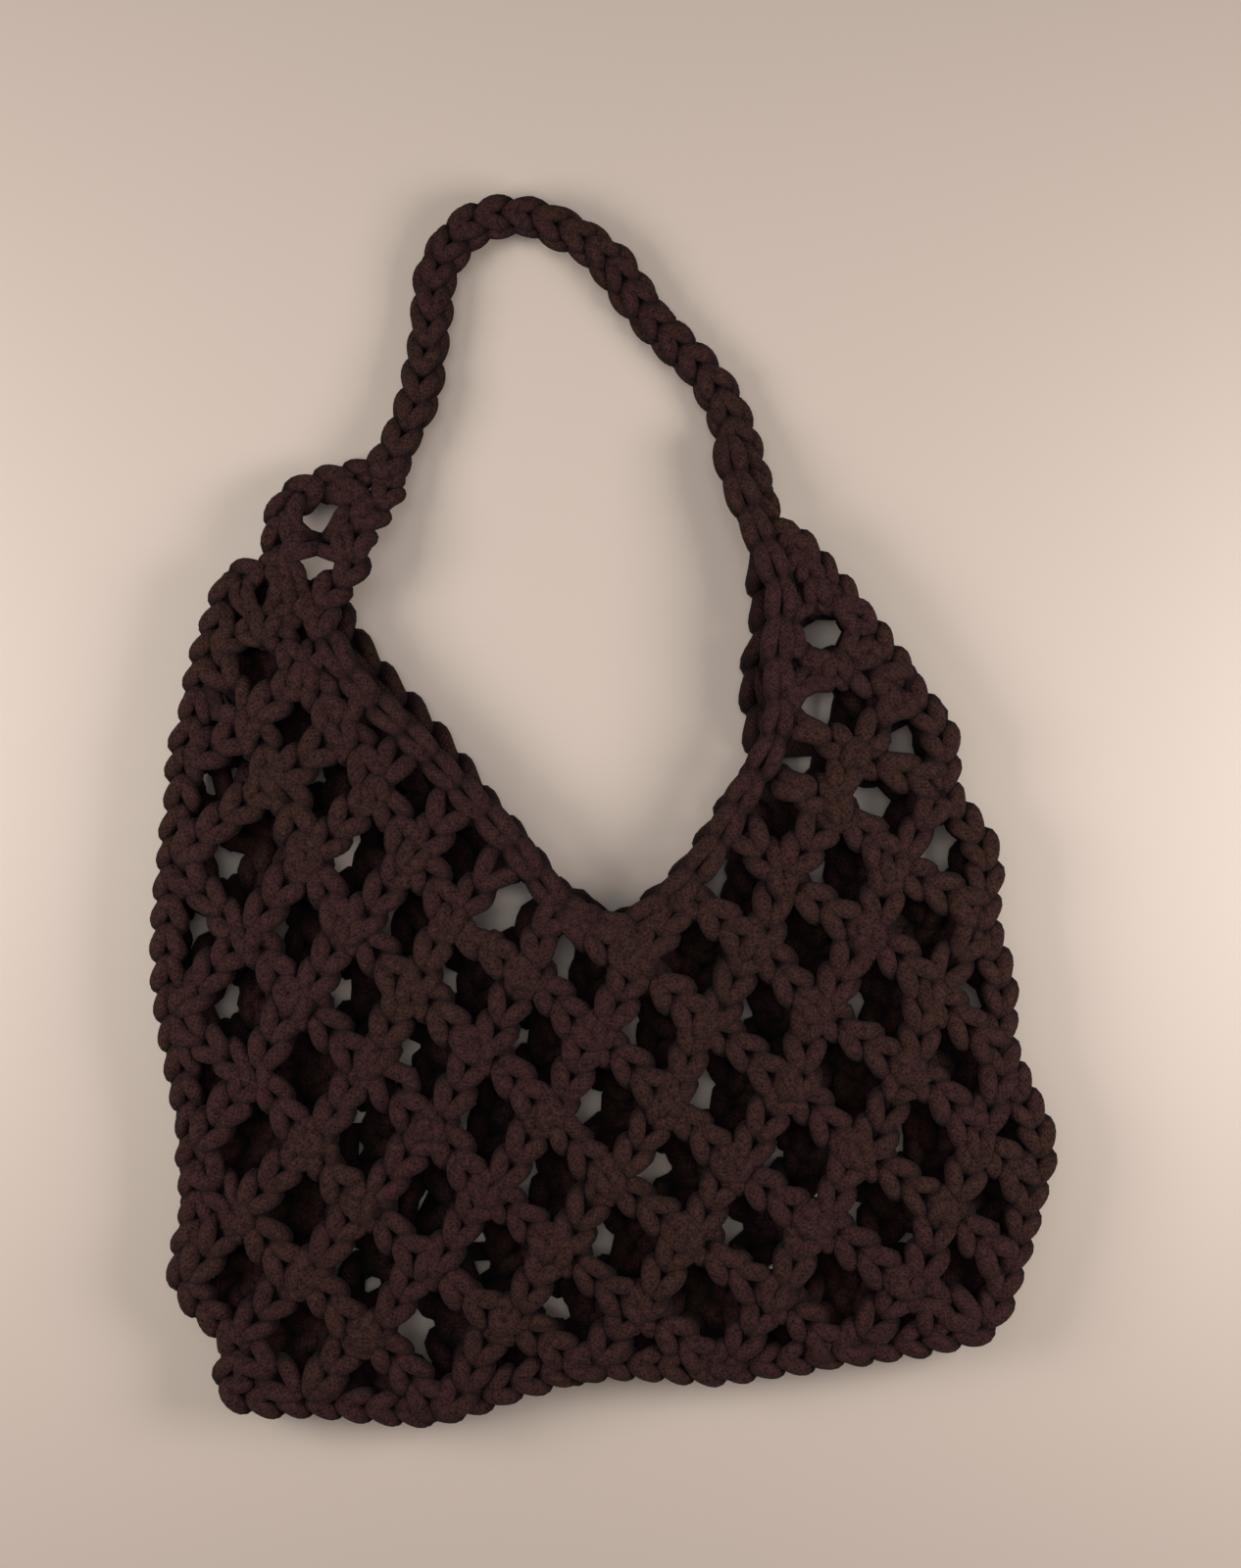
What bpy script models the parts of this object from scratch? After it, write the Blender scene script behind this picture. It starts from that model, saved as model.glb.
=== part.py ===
"""Crocheted shoulder bag in thick cotton cord, lying flat: two nets, two neck edgings and a strap.

Metres, +Z up. The strap points towards +Y, and the mouth opens between the nets towards the strap.
Places in the tables are shares of BAG_WIDTH, from the left, and of BAG_LENGTH, from the bottom.
"""

import bmesh
import bpy
import numpy as np

# Overall size of the bag as it lies
BAG_WIDTH = 0.289
BAG_LENGTH = 0.3946

# Middle of the outline, as shares, which is the origin
OUTLINE_MIDDLE = (0.4993, 0.5017)

# Cord work: the bars of the net, narrower on the tab, and the scallops that stitches make along an edge
BAR_WIDTH = 0.0118
TAB_BAR_SHARE = 0.78
NET_THICKNESS = 0.010
SCALLOP = 0.0009

# A hole is its cell drawn in by half a bar; one drawn in to less than this share of its cell is closed,
# with its middle a little below the bars
SMALLEST_HOLE_SHARE = 0.22
CORNER_ROUNDING = 0.86
CLOSED_CELL_LEVEL = 0.9

# Steps along one bar of the net, and along one bar of the outline, where each stitch stands out
INNER_STEPS = 2
OUTLINE_STEPS = 4
SHARPEST_CORNER = 0.75

# Room inside the bag, and the clearance between neighbouring pieces
POCKET = 0.006
GAP = 0.0003
CLOSING_RUN = 0.030

# Neck edging, which stops short of the tab and runs on past the right peak to the strap, and the strap
EDGING_WIDTH = 0.0070
EDGING_END = 0.0012
EDGING_REACH = 0.0050
STRAP_WIDTH = 0.0138
STRAP_THICKNESS = 0.0105
STRAP_STITCH = 0.0102
SMOOTHING_STEPS = 12

# The tab bends down from the front net towards the table
TAB_FOOT = 0.705
TAB_TOP = 0.770
TAB_DIP = 0.0085

# How far the back net's knots stand from the middle of the front's holes, and the least from a row's end
BACK_SHIFT = (0.026, 0.004)
LEAST_FROM_END = 0.035

# Section of a bar, as shares of the thickness: on the middle line, at the edges of a hole or the neck, and
# on the rim, where the two nets close together into one rounded fold
FRONT_SECTION = {
    "ridge_top": 1.0,
    "edge_top": 0.68,
    "edge_bottom": 0.26,
    "ridge_bottom": 0.0,
    "rim_top": 0.50,
    "rim_bottom": 0.0,
}
BACK_SECTION = {
    "ridge_top": 1.0,
    "edge_top": 0.70,
    "edge_bottom": 0.0,
    "ridge_bottom": 0.0,
    "rim_top": 1.0,
    "rim_bottom": 0.45,
}

# Bottom edge from left to right: x, y
BOTTOM_EDGE = (
    (0.094, 0.033),
    (0.174, 0.024),
    (0.324, 0.020),
    (0.481, 0.054),
    (0.628, 0.051),
    (0.762, 0.064),
    (0.871, 0.077),
    (0.915, 0.086),
)

# Rows of knots from the bottom up: left end x, y; right end x, y; first and last inner knot x; inner knots
BODY_ROWS = (
    (0.099, 0.071, 0.942, 0.127, 0.244, 0.832, 5),
    (0.045, 0.116, 0.966, 0.187, 0.172, 0.871, 6),
    (0.054, 0.169, 0.974, 0.237, 0.104, 0.912, 7),
    (0.052, 0.222, 0.936, 0.297, 0.182, 0.834, 6),
    (0.041, 0.277, 0.933, 0.357, 0.123, 0.855, 7),
    (0.028, 0.332, 0.915, 0.410, 0.168, 0.789, 6),
)

# The same for each side of the mouth, and last how far the back net reaches into the mouth past the front
LEFT_ROWS = (
    (0.024, 0.389, 0.448, 0.416, 0.113, 0.335, 3, 0.000),
    (0.030, 0.454, 0.397, 0.462, 0.178, 0.293, 2, 0.000),
    (0.041, 0.529, 0.341, 0.507, 0.145, 0.252, 2, 0.006),
    (0.050, 0.570, 0.284, 0.551, 0.116, 0.215, 2, 0.018),
    (0.068, 0.622, 0.217, 0.597, 0.174, 0.174, 1, 0.032),
    (0.085, 0.658, 0.188, 0.632, 0.134, 0.134, 1, 0.022),
    (0.100, 0.682, 0.195, 0.666, 0.150, 0.150, 1, 0.000),
)
RIGHT_ROWS = (
    (0.590, 0.430, 0.917, 0.462, 0.697, 0.815, 2, 0.000),
    (0.646, 0.487, 0.874, 0.512, 0.756, 0.756, 1, 0.000),
    (0.692, 0.530, 0.869, 0.556, 0.773, 0.773, 1, 0.008),
    (0.704, 0.570, 0.837, 0.591, 0.000, 0.000, 0, 0.022),
    (0.704, 0.606, 0.810, 0.619, 0.751, 0.751, 1, 0.024),
    (0.695, 0.640, 0.790, 0.644, 0.000, 0.000, 0, 0.006),
    (0.691, 0.676, 0.762, 0.666, 0.732, 0.732, 1, 0.004),
    (0.680, 0.713, 0.706, 0.716, 0.000, 0.000, 0, 0.000),
)

# The ladder-like tab on the left peak of the front net, in the same columns
TAB_ROWS = (
    (0.144, 0.695, 0.225, 0.694, 0.000, 0.000, 0, 0.000),
    (0.146, 0.720, 0.232, 0.719, 0.188, 0.188, 1, 0.000),
    (0.152, 0.745, 0.253, 0.742, 0.000, 0.000, 0, 0.000),
    (0.190, 0.760, 0.264, 0.759, 0.000, 0.000, 0, 0.000),
    (0.250, 0.772, 0.268, 0.767, 0.000, 0.000, 0, 0.000),
)
VALLEY = (0.521, 0.395)

# Middle line of the strap from the tab to the right peak: x, y, height above the table in strap
# thicknesses, width in strap widths
STRAP_PATH = (
    (0.2686, 0.7863, 0.86, 1.00),
    (0.2897, 0.8233, 0.78, 1.00),
    (0.2994, 0.8578, 0.68, 0.98),
    (0.3069, 0.8971, 0.60, 0.98),
    (0.3122, 0.9269, 0.62, 1.00),
    (0.3262, 0.9537, 0.72, 1.00),
    (0.3509, 0.9717, 0.84, 1.00),
    (0.3788, 0.9796, 0.92, 1.00),
    (0.4099, 0.9804, 0.92, 1.00),
    (0.4453, 0.9717, 0.84, 1.00),
    (0.4828, 0.9568, 0.74, 1.00),
    (0.5107, 0.9379, 0.66, 1.00),
    (0.5558, 0.8940, 0.56, 1.00),
    (0.6137, 0.8515, 0.56, 0.96),
    (0.6438, 0.8091, 0.66, 0.92),
    (0.6588, 0.7698, 0.92, 0.90),
    (0.6741, 0.7298, 1.14, 0.92),
)

# Section of the strap, starting on its inner side and going over the top: offset in half widths, height in
# half thicknesses
STRAP_SECTION = (
    (-1.0, -0.35),
    (-1.0, 0.35),
    (-0.62, 0.86),
    (0.0, 1.0),
    (0.62, 0.86),
    (1.0, 0.35),
    (1.0, -0.35),
    (0.62, -0.86),
    (0.0, -1.0),
    (-0.62, -0.86),
)

CORD_COLOUR = (0.045, 0.026, 0.023, 1.0)
EDGING_COLOUR = (0.048, 0.028, 0.024, 1.0)
CORD_ROUGHNESS = 0.88

SCALE = np.array((BAG_WIDTH, BAG_LENGTH))
MIDDLE = SCALE * OUTLINE_MIDDLE


def in_place(shares):
    """Points in metres: share times size, less half the size, so that the bag is centred."""
    return np.asarray(shares, float) * SCALE - MIDDLE


def row_of_knots(row, staggered):
    """The knots of one row from left to right, as shares.

    Inner knots are evenly spaced on the straight line between the ends. In a staggered row, which is
    the back net's, each stands half-way between two of the front's, moved by BACK_SHIFT.
    """
    left_x, left_y, right_x, right_y, first, last, count = row[:7]
    inner = np.linspace(first, last, count)
    lift = 0.0
    if staggered:
        every = np.concatenate(([left_x], inner, [right_x]))
        inner = 0.5 * (every[1:] + every[:-1]) + BACK_SHIFT[0]
        inner = inner[(inner > left_x + LEAST_FROM_END) & (inner < right_x - LEAST_FROM_END)]
        lift = BACK_SHIFT[1]
    x = np.concatenate(([left_x], inner, [right_x]))
    y = np.interp(x, (left_x, right_x), (left_y, right_y))
    y[1:-1] += lift
    return np.column_stack((x, y))


def tie_rows(lower, upper, places):
    """The knot above each stretch of the lower row, and the one below each stretch of the upper row.

    Bars tie the rows from the left ends on, each time to whichever next knot is nearer, until both end.
    """
    below, above = {}, {}
    i = j = 0
    while i < len(lower) - 1 or j < len(upper) - 1:
        along_lower = along_upper = np.inf
        if i < len(lower) - 1:
            along_lower = np.linalg.norm(places[lower[i + 1]] - places[upper[j]])
        if j < len(upper) - 1:
            along_upper = np.linalg.norm(places[lower[i]] - places[upper[j + 1]])
        if along_lower <= along_upper:
            above[lower[i], lower[i + 1]] = upper[j]
            i += 1
        else:
            below[upper[j], upper[j + 1]] = lower[i]
            j += 1
    return below, above


def net_plan(staggered, with_tab):
    """Knot places in metres, the cells as loops of knots, which are the tab's, and the neck's knots.

    The staggered net reaches further into the mouth, to the right from the left peak and to the left
    from the right one.
    """
    places = []

    def add(shares):
        start = len(places)
        places.extend(in_place(shares))
        return list(range(start, len(places)))

    def wing(rows, mouth_column, way):
        made = []
        for row in rows:
            row = list(row)
            row[mouth_column] += way * row[7] if staggered else 0.0
            made.append(add(row_of_knots(row, staggered)))
        return made

    body = [add(BOTTOM_EDGE)]
    body += [add(row_of_knots(row, staggered)) for row in BODY_ROWS]
    left = wing(LEFT_ROWS + (TAB_ROWS if with_tab else ()), 2, 1.0)
    valley = add([VALLEY])
    right = wing(RIGHT_ROWS, 0, -1.0)
    places = np.array(places)
    mouth_row = left[0] + valley + right[0]
    ladders = [body + [mouth_row], left, right]

    below, above = {}, {}
    for rows in ladders:
        for lower, upper in zip(rows[:-1], rows[1:]):
            under, over = tie_rows(lower, upper, places)
            below.update(under)
            above.update(over)

    cells, on_tab = [], []
    for rows in (body, [mouth_row], left[1:], right[1:]):
        for row in rows:
            for a, b in zip(row[:-1], row[1:]):
                loop = [a, below.get((a, b)), b, above.get((a, b))]
                cells.append([knot for knot in loop if knot is not None])
                on_tab.append(row in left[len(LEFT_ROWS) :])
    neck = [row[0] for row in right[::-1]] + valley
    neck += [row[-1] for row in left[: len(LEFT_ROWS) - 1]]
    return places, cells, on_tab, neck


def outline_of(cells):
    """For each knot on the outline, the next one counterclockwise: edges that only one cell has."""
    edges = {(a, b) for loop in cells for a, b in zip(loop, loop[1:] + loop[:1])}
    return {a: b for a, b in edges if (b, a) not in edges}


def outline_loop(onward):
    """The knots of the outline in order, counterclockwise."""
    loop = [min(onward)]
    while onward[loop[-1]] != loop[0]:
        loop.append(onward[loop[-1]])
    return loop


def side_lines():
    """Left side, right side and bottom of the bag in metres, for measuring how near the rim a place is."""
    rows = list(BODY_ROWS)
    left = in_place([row[:2] for row in rows] + [row[:2] for row in LEFT_ROWS])
    right = in_place([row[2:4] for row in rows] + [row[2:4] for row in RIGHT_ROWS])
    return left, right, in_place(BOTTOM_EDGE)


def closing(points):
    """0 on the sides, the bottom and the peaks, where the nets meet, and 1 where they lie apart."""
    left, right, bottom = side_lines()
    x, y = points[:, 0], points[:, 1]
    from_left = x - np.interp(y, left[:, 1], left[:, 0])
    from_right = np.interp(y, right[:, 1], right[:, 0]) - x
    from_bottom = y - np.interp(x, bottom[:, 0], bottom[:, 1])
    peak = np.where(x < in_place([VALLEY])[0, 0], left[-1, 1], right[-1, 1])
    nearest = np.minimum(np.minimum(from_left, from_right), np.minimum(from_bottom, peak - y))
    share = np.clip(nearest / CLOSING_RUN, 0.0, 1.0)
    return share * share * (3.0 - 2.0 * share)


def front_base(points):
    """Height of the front net's underside: it lies on the back net's rim, stands off it inside, and the
    tab bends down past the peak."""
    meeting = NET_THICKNESS + 0.5 * POCKET + 0.5 * GAP
    height = meeting + 0.5 * (POCKET - GAP) * closing(points)
    foot, top = in_place([(0.0, TAB_FOOT), (0.0, TAB_TOP)])[:, 1]
    share = np.clip((points[:, 1] - foot) / (top - foot), 0.0, 1.0)
    share = np.where(points[:, 0] < in_place([VALLEY])[0, 0], share, 0.0)
    return height - TAB_DIP * share * share * (3.0 - 2.0 * share)


def back_base(points):
    """Height of the back net's underside: on the table inside, a little up where it meets the front."""
    return 0.5 * (POCKET - GAP) * (1.0 - closing(points))


def offset_ways(points, closed):
    """Unit vectors pointing out of a counterclockwise line of points, with the stretch that keeps an
    offset parallel at corners."""
    if closed:
        before, after = np.roll(points, 1, axis=0), np.roll(points, -1, axis=0)
    else:
        before = np.vstack((2.0 * points[:1] - points[1:2], points[:-1]))
        after = np.vstack((points[1:], 2.0 * points[-1:] - points[-2:-1]))
    first, second = points - before, after - points
    first = first / np.linalg.norm(first, axis=1, keepdims=True)
    second = second / np.linalg.norm(second, axis=1, keepdims=True)
    normals_one = np.column_stack((first[:, 1], -first[:, 0]))
    normals_two = np.column_stack((second[:, 1], -second[:, 0]))
    way = normals_one + normals_two
    way = way / np.linalg.norm(way, axis=1, keepdims=True)
    stretch = np.maximum((way * normals_one).sum(axis=1, keepdims=True), SHARPEST_CORNER)
    return way / stretch


class Shell:
    """Collects points and faces of one closed solid."""

    def __init__(self):
        self.points, self.faces = [], []

    def add(self, plan_points, heights):
        start = len(self.points)
        self.points.extend((x, y, z) for (x, y), z in zip(plan_points, heights))
        return np.arange(start, len(self.points))

    def band(self, one, two, closed=True):
        """Quads between two lines of points of the same length; a pair that coincides gives a triangle."""
        count = len(one)
        for i in range(count if closed else count - 1):
            j = (i + 1) % count
            face = [one[i], one[j], two[j], two[i]]
            face = [p for k, p in enumerate(face) if p != face[k - 1]]
            if len(face) > 2:
                self.faces.append(face)

    def build(self, name, material):
        mesh = bpy.data.meshes.new(name)
        mesh.from_pydata(self.points, [], [[int(p) for p in face] for face in self.faces])
        shaper = bmesh.new()
        shaper.from_mesh(mesh)
        bmesh.ops.recalc_face_normals(shaper, faces=shaper.faces[:])
        shaper.to_mesh(mesh)
        shaper.free()
        mesh.materials.append(material)
        made = bpy.data.objects.new(name, mesh)
        bpy.context.scene.collection.objects.link(made)
        return made


def net(name, staggered, with_tab, section, base, material):
    """One panel: every cell of the plan gets a hole, and the bars between have a ridged section."""
    places, cells, on_tab, neck = net_plan(staggered, with_tab)
    onward = outline_of(cells)
    shell = Shell()
    levels = {key: share * NET_THICKNESS for key, share in section.items()}
    inside = {}

    def edge_points(a, b):
        """Numbers of the points from knot a up to, but not including, knot b."""
        key = (min(a, b), max(a, b))
        if key not in inside:
            steps = OUTLINE_STEPS if onward.get(a) == b or onward.get(b) == a else INNER_STEPS
            t = np.linspace(0.0, 1.0, steps + 1)[1:-1, None]
            inside[key] = ring_points(places[key[0]] * (1.0 - t) + places[key[1]] * t)
        between = inside[key] if a < b else inside[key][::-1]
        return [a] + list(between)

    plan, tops, bottoms = [], [], []

    def ring_points(points):
        start = len(plan)
        plan.extend(points)
        height = base(points)
        tops.extend(shell.add(points, height + levels["ridge_top"]))
        bottoms.extend(shell.add(points, height + levels["ridge_bottom"]))
        return range(start, len(plan))

    ring_points(places)
    for loop, narrow in zip(cells, on_tab):
        ring = []
        for a, b in zip(loop, loop[1:] + loop[:1]):
            ring += edge_points(a, b)
        points = np.array([plan[p] for p in ring])
        top = [tops[p] for p in ring]
        bottom = [bottoms[p] for p in ring]
        following = np.roll(points, -1, axis=0)
        area = 0.5 * np.sum(points[:, 0] * following[:, 1] - points[:, 1] * following[:, 0])
        rim = np.linalg.norm(following - points, axis=1).sum()
        centre = points.mean(axis=0)
        half_bar = 0.5 * BAR_WIDTH * (TAB_BAR_SHARE if narrow else 1.0)
        opening = 1.0 - half_bar / (2.0 * area / rim)
        height = base(points)
        if opening < SMALLEST_HOLE_SHARE:
            middle = base(centre[None, :])[0]
            upper = shell.add([centre], [middle + CLOSED_CELL_LEVEL * levels["ridge_top"]])[0]
            lower = shell.add([centre], [middle + levels["ridge_bottom"]])[0]
            count = len(ring)
            for i in range(count):
                j = (i + 1) % count
                shell.faces.append([top[i], top[j], upper])
                shell.faces.append([bottom[j], bottom[i], lower])
            continue
        corner = np.isin(ring, loop)[:, None]
        share = np.where(corner, opening * CORNER_ROUNDING, opening)
        hole = centre + (points - centre) * share
        hole_top = shell.add(hole, height + levels["edge_top"])
        hole_bottom = shell.add(hole, height + levels["edge_bottom"])
        shell.band(top, hole_top)
        shell.band(hole_top, hole_bottom)
        shell.band(hole_bottom, bottom)

    rim, on_neck = [], []
    loop = outline_loop(onward)
    for a, b in zip(loop, loop[1:] + loop[:1]):
        edge = edge_points(a, b)
        rim += edge
        on_neck += [a in neck] + [a in neck and b in neck] * (len(edge) - 1)
    points = np.array([plan[p] for p in rim])
    way = offset_ways(points, True)
    bump = np.where(np.arange(len(rim)) % 2 == 0, SCALLOP, -SCALLOP)[:, None]
    outer = points + way * (0.5 * BAR_WIDTH + bump)
    height = base(points)
    top = np.array([tops[p] for p in rim])
    bottom = np.array([bottoms[p] for p in rim])
    free = ~np.array(on_neck)
    outer_top, outer_bottom = top.copy(), bottom.copy()
    outer_top[free] = shell.add(outer[free], height[free] + levels["rim_top"])
    outer_bottom[free] = shell.add(outer[free], height[free] + levels["rim_bottom"])
    shell.band(outer_top, top)
    shell.band(outer_bottom, outer_top)
    shell.band(bottom, outer_bottom)
    shell.build(name, material)

    start = [i for i in range(len(rim)) if on_neck[i] and not on_neck[i - 1]][0]
    order = (start + np.arange(len(rim))) % len(rim)
    order = order[: int(np.sum(on_neck))]
    return points[order]


def edging(name, neck_line, section, base, material):
    """The row of slip stitches outside the neck line: a bar with one wall along the net."""
    line = neck_line.copy()
    for end, inner, inward in ((0, 1, -EDGING_REACH), (-1, -2, EDGING_END)):
        along = line[inner] - line[end]
        line[end] += along * (inward / np.linalg.norm(along))
    way = offset_ways(line, False)
    bump = np.where(np.arange(len(line)) % 2 == 0, SCALLOP, -SCALLOP)[:, None]
    height = base(neck_line)
    levels = {key: share * NET_THICKNESS for key, share in section.items()}
    columns = (
        (GAP, "edge_bottom"),
        (GAP, "edge_top"),
        (0.5 * EDGING_WIDTH, "ridge_top"),
        (EDGING_WIDTH + bump, "edge_top"),
        (EDGING_WIDTH + bump, "edge_bottom"),
        (0.5 * EDGING_WIDTH, "ridge_bottom"),
    )
    shell = Shell()
    lines = [shell.add(line + way * out, height + levels[level]) for out, level in columns]
    for one, two in zip(lines, lines[1:] + lines[:1]):
        shell.band(one, two, closed=False)
    shell.faces.append([column[0] for column in lines])
    shell.faces.append([column[-1] for column in lines[::-1]])
    return shell.build(name, material)


def smooth_rows(rows, spacing):
    """Evenly spaced rows on the smooth curve through the given ones, spacing measured in plan."""
    padded = np.vstack((2.0 * rows[:1] - rows[1:2], rows, 2.0 * rows[-1:] - rows[-2:-1]))
    t = np.linspace(0.0, 1.0, SMOOTHING_STEPS, endpoint=False)[:, None]
    pieces = []
    for a, b, c, d in zip(padded[:-3], padded[1:-2], padded[2:-1], padded[3:]):
        bend = 2.0 * b + (c - a) * t + (2.0 * a - 5.0 * b + 4.0 * c - d) * t**2
        pieces.append(0.5 * (bend + (3.0 * b - a - 3.0 * c + d) * t**3))
    fine = np.vstack(pieces + [rows[-1:]])
    travelled = np.concatenate(([0.0], np.cumsum(np.linalg.norm(np.diff(fine[:, :2], axis=0), axis=1))))
    count = int(np.ceil(travelled[-1] / spacing)) + 1
    stops = np.linspace(0.0, travelled[-1], count)
    return np.column_stack([np.interp(stops, travelled, column) for column in fine.T])


def strap(name, material):
    """The strap: an oval section carried along its path, wider at each stitch."""
    table = np.array(STRAP_PATH)
    rows = np.column_stack((in_place(table[:, :2]), table[:, 2] * STRAP_THICKNESS, table[:, 3]))
    rows = smooth_rows(rows, 0.5 * STRAP_STITCH)
    way = offset_ways(rows[:, :2], False)
    bump = np.where(np.arange(len(rows)) % 2 == 0, SCALLOP, -SCALLOP)
    half_width = 0.5 * STRAP_WIDTH * rows[:, 3] + bump
    shell = Shell()
    lines = []
    for out, up in STRAP_SECTION:
        points = rows[:, :2] + way * (out * half_width)[:, None]
        lines.append(shell.add(points, rows[:, 2] + 0.5 * STRAP_THICKNESS * up))
    for one, two in zip(lines, lines[1:] + lines[:1]):
        shell.band(one, two, closed=False)
    shell.faces.append([column[0] for column in lines])
    shell.faces.append([column[-1] for column in lines[::-1]])
    return shell.build(name, material)


def cord_material(name, colour):
    material = bpy.data.materials.new(name)
    material.use_nodes = True
    shader = material.node_tree.nodes["Principled BSDF"]
    shader.inputs["Base Color"].default_value = colour
    shader.inputs["Roughness"].default_value = CORD_ROUGHNESS
    shader.inputs["Metallic"].default_value = 0.0
    material.diffuse_color = colour
    return material


for leftover in list(bpy.data.objects):
    bpy.data.objects.remove(leftover, do_unlink=True)

cotton = cord_material("brown_cotton", CORD_COLOUR)
edge_cotton = cord_material("brown_cotton_edging", EDGING_COLOUR)

front_neck = net("front_net", False, True, FRONT_SECTION, front_base, cotton)
back_neck = net("back_net", True, False, BACK_SECTION, back_base, cotton)
edging("front_edging", front_neck, FRONT_SECTION, front_base, edge_cotton)
edging("back_edging", back_neck, BACK_SECTION, back_base, edge_cotton)
strap("strap", cotton)
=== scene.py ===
# %% [markdown]
# # A crocheted net bag, lying flat
#
# The bag is one long soft cotton cord, about 5.8 mm thick, worked into chains of loops. Two open nets
# lie on each other, a row of slip stitches runs round the V-shaped mouth, and a narrow strap closes
# the loop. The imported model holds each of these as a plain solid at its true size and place. Here the
# same places are worked up again as real cord: every stitch is a loop that goes through its
# neighbour, because no painted pattern gives such shadows and such an outline.

import bpy
import numpy as np
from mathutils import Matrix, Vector


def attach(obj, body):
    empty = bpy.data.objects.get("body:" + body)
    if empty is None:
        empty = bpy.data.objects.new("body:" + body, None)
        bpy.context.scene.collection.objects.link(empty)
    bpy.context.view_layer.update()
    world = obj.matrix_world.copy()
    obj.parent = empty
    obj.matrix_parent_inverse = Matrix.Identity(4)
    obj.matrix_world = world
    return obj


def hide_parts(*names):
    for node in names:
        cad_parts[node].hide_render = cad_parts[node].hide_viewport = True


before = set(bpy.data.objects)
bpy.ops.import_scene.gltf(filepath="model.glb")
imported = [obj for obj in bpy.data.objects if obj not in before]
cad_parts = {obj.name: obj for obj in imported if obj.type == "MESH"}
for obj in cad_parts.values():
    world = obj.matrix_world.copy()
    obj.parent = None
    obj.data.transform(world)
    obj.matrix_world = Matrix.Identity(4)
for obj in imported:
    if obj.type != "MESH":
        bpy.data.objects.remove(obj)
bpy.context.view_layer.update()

# %% [markdown]
# ## Camera
#
# The bag is seen from straight above, with its strap pointing to the top of the picture. A camera
# that is turned by nothing looks down its own -Z axis, so it only has to be lifted. The lens follows
# from one choice, the height, and from the real width that the picture takes in.

# %% Camera
VIEW_WIDTH = 0.3926
CAMERA_HEIGHT = 0.75
VIEW_MIDDLE = (0.0055, 0.0066)
BAG_MIDDLE_HEIGHT = 0.018
SENSOR_WIDTH = 36.0
NEAREST_SEEN = 0.01

camera_data = bpy.data.cameras.new("camera")
camera_data.sensor_fit = "HORIZONTAL"
camera_data.sensor_width = SENSOR_WIDTH
camera_data.lens = SENSOR_WIDTH * (CAMERA_HEIGHT - BAG_MIDDLE_HEIGHT) / VIEW_WIDTH
camera_data.clip_start = NEAREST_SEEN
camera = bpy.data.objects.new("camera", camera_data)
camera.location = (*VIEW_MIDDLE, CAMERA_HEIGHT)
bpy.context.scene.collection.objects.link(camera)
bpy.context.scene.camera = camera
print("lens in mm:", round(camera_data.lens, 1))

# %% [markdown]
# ## The plan of the net
#
# A net is laid out as rows of knots. Places are shares of the bag's width and length, the same ones
# that the solids were built from, so the cord lies where the solids are. In the back net the knots
# stand half-way between those of the front, which is why brown cord shows in most of the holes.

# %% Sizes and rows of knots
BAG_WIDTH = 0.289
BAG_LENGTH = 0.3946
OUTLINE_MIDDLE = (0.4993, 0.5017)
NET_THICKNESS = 0.010
POCKET = 0.006
GAP = 0.0003
CLOSING_RUN = 0.030
TAB_FOOT = 0.705
TAB_TOP = 0.770
TAB_DIP = 0.0085
BACK_SHIFT = (0.026, 0.004)
LEAST_FROM_END = 0.035

# Bottom edge from left to right: x, y
BOTTOM_EDGE = (
    (0.094, 0.033),
    (0.174, 0.024),
    (0.324, 0.020),
    (0.481, 0.054),
    (0.628, 0.051),
    (0.762, 0.064),
    (0.871, 0.077),
    (0.915, 0.086),
)

# Rows from the bottom up: left end x, y; right end x, y; first and last inner knot x; inner knots
BODY_ROWS = (
    (0.099, 0.071, 0.942, 0.127, 0.244, 0.832, 5),
    (0.045, 0.116, 0.966, 0.187, 0.172, 0.871, 6),
    (0.054, 0.169, 0.974, 0.237, 0.104, 0.912, 7),
    (0.052, 0.222, 0.936, 0.297, 0.182, 0.834, 6),
    (0.041, 0.277, 0.933, 0.357, 0.123, 0.855, 7),
    (0.028, 0.332, 0.915, 0.410, 0.168, 0.789, 6),
)

# The same for each side of the mouth, and last how far the back net reaches into the mouth
LEFT_ROWS = (
    (0.024, 0.389, 0.448, 0.416, 0.113, 0.335, 3, 0.000),
    (0.030, 0.454, 0.397, 0.462, 0.178, 0.293, 2, 0.000),
    (0.041, 0.529, 0.341, 0.507, 0.145, 0.252, 2, 0.006),
    (0.050, 0.570, 0.284, 0.551, 0.116, 0.215, 2, 0.018),
    (0.068, 0.622, 0.217, 0.597, 0.174, 0.174, 1, 0.032),
    (0.085, 0.658, 0.188, 0.632, 0.134, 0.134, 1, 0.022),
    (0.100, 0.682, 0.195, 0.666, 0.150, 0.150, 1, 0.000),
)
RIGHT_ROWS = (
    (0.590, 0.430, 0.917, 0.462, 0.697, 0.815, 2, 0.000),
    (0.646, 0.487, 0.874, 0.512, 0.756, 0.756, 1, 0.000),
    (0.692, 0.530, 0.869, 0.556, 0.773, 0.773, 1, 0.008),
    (0.704, 0.570, 0.837, 0.591, 0.000, 0.000, 0, 0.022),
    (0.704, 0.606, 0.810, 0.619, 0.751, 0.751, 1, 0.024),
    (0.695, 0.640, 0.790, 0.644, 0.000, 0.000, 0, 0.006),
    (0.691, 0.676, 0.762, 0.666, 0.732, 0.732, 1, 0.004),
    (0.680, 0.713, 0.706, 0.716, 0.000, 0.000, 0, 0.000),
)
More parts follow.
